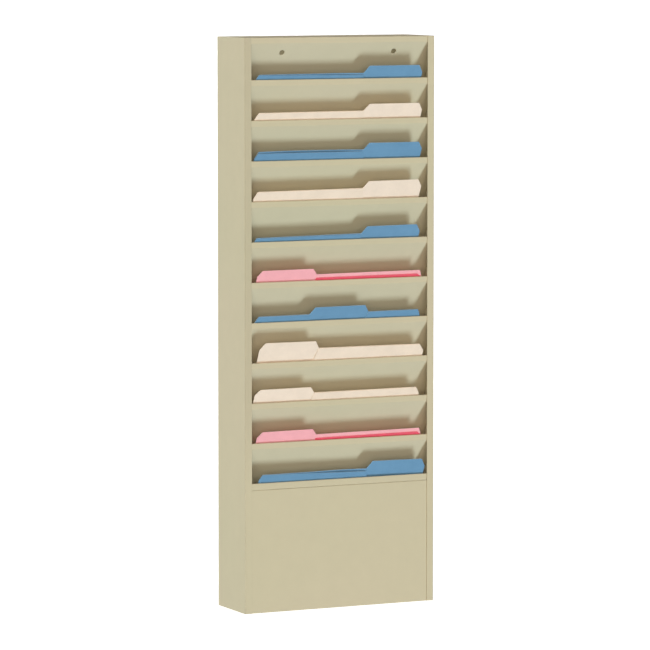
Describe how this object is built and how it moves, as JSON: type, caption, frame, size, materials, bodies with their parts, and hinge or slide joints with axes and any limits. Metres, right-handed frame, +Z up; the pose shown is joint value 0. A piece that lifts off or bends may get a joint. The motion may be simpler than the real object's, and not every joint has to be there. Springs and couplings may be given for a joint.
{
  "type": "wall file rack",
  "caption": "Tall wall-hung sheet-metal file rack: a stack of sloping open pockets between two side panels, each with a removable tab folder.",
  "frame": {"origin": "centre of the underside of the rack's floor", "axes": "+Z up, +Y towards the wall the rack hangs on, +X to the right of somebody facing it"},
  "size_m": [0.335, 0.1157, 0.9144],
  "materials": {
    "enamel": "putty baked enamel, low sheen",
    "blue_card": "matte blue card stock",
    "manila_card": "matte manila card stock",
    "pink_card": "matte pink card stock, deeper outside than inside"
  },
  "bodies": {
    "rack": {"side_panel_left": "enamel", "side_panel_right": "enamel", "back_panel": "enamel", "top_plate": "enamel", "bottom_plate": "enamel", "front_cover": "enamel", "top_divider": "enamel", "divider_01": "enamel", "divider_02": "enamel", "divider_03": "enamel", "divider_04": "enamel", "divider_05": "enamel", "divider_06": "enamel", "divider_07": "enamel", "divider_08": "enamel", "divider_09": "enamel", "divider_10": "enamel", "divider_11": "enamel"},
    "folder_01": {"folder_01": "blue_card"},
    "folder_02": {"folder_02": "manila_card"},
    "folder_03": {"folder_03": "blue_card"},
    "folder_04": {"folder_04": "manila_card"},
    "folder_05": {"folder_05": "blue_card"},
    "folder_06": {"folder_06": "pink_card"},
    "folder_07": {"folder_07": "blue_card"},
    "folder_08": {"folder_08": "manila_card"},
    "folder_09": {"folder_09": "manila_card"},
    "folder_10": {"folder_10": "pink_card"},
    "folder_11": {"folder_11": "blue_card"}
  },
  "joints": [
    {"name": "folder_01_slide", "type": "slide", "parent": "rack", "child": "folder_01", "axis": [0, -0.4508, 0.8926], "range_m": [0, 0.22]},
    {"name": "folder_02_slide", "type": "slide", "parent": "rack", "child": "folder_02", "axis": [0, -0.4508, 0.8926], "range_m": [0, 0.22]},
    {"name": "folder_03_slide", "type": "slide", "parent": "rack", "child": "folder_03", "axis": [0, -0.4508, 0.8926], "range_m": [0, 0.22]},
    {"name": "folder_04_slide", "type": "slide", "parent": "rack", "child": "folder_04", "axis": [0, -0.4508, 0.8926], "range_m": [0, 0.22]},
    {"name": "folder_05_slide", "type": "slide", "parent": "rack", "child": "folder_05", "axis": [0, -0.4508, 0.8926], "range_m": [0, 0.22]},
    {"name": "folder_06_slide", "type": "slide", "parent": "rack", "child": "folder_06", "axis": [0, -0.4508, 0.8926], "range_m": [0, 0.22]},
    {"name": "folder_07_slide", "type": "slide", "parent": "rack", "child": "folder_07", "axis": [0, -0.4508, 0.8926], "range_m": [0, 0.22]},
    {"name": "folder_08_slide", "type": "slide", "parent": "rack", "child": "folder_08", "axis": [0, -0.4508, 0.8926], "range_m": [0, 0.22]},
    {"name": "folder_09_slide", "type": "slide", "parent": "rack", "child": "folder_09", "axis": [0, -0.4508, 0.8926], "range_m": [0, 0.22]},
    {"name": "folder_10_slide", "type": "slide", "parent": "rack", "child": "folder_10", "axis": [0, -0.4508, 0.8926], "range_m": [0, 0.22]},
    {"name": "folder_11_slide", "type": "slide", "parent": "rack", "child": "folder_11", "axis": [0, -0.4508, 0.8926], "range_m": [0, 0.22]}
  ]
}
